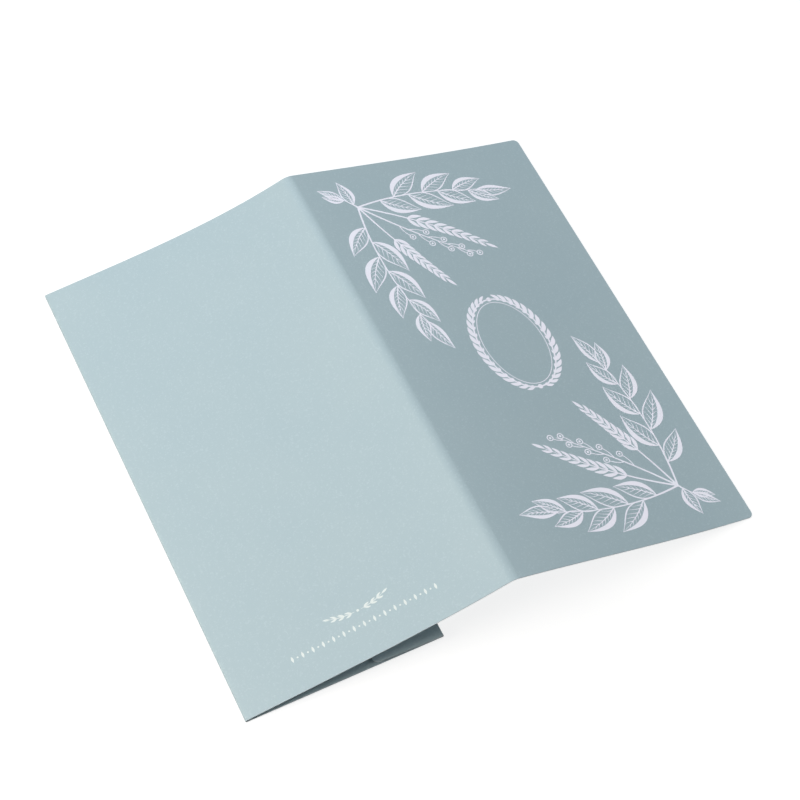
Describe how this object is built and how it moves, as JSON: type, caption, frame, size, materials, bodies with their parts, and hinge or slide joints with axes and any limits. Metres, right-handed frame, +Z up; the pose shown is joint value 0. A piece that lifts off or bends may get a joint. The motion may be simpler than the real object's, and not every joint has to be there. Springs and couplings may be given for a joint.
{
  "type": "folded invitation card",
  "caption": "Tall roll-fold card of pearl card stock, standing open like a low roof, with a narrower inner flap and a folded lip.",
  "frame": {"origin": "on the table under the middle of the card", "axes": "+Z up, +Y along the creases towards the head of the card, +X from the back panel to the front panel"},
  "size_m": [0.2266, 0.215, 0.031],
  "materials": {
    "card_stock": "pearl, satin",
    "pearl_foil": "hot-stamped pearl foil",
    "white_ink": "matt white ink"
  },
  "bodies": {
    "root": {"card_sheet": "card_stock"}
  },
  "joints": []
}
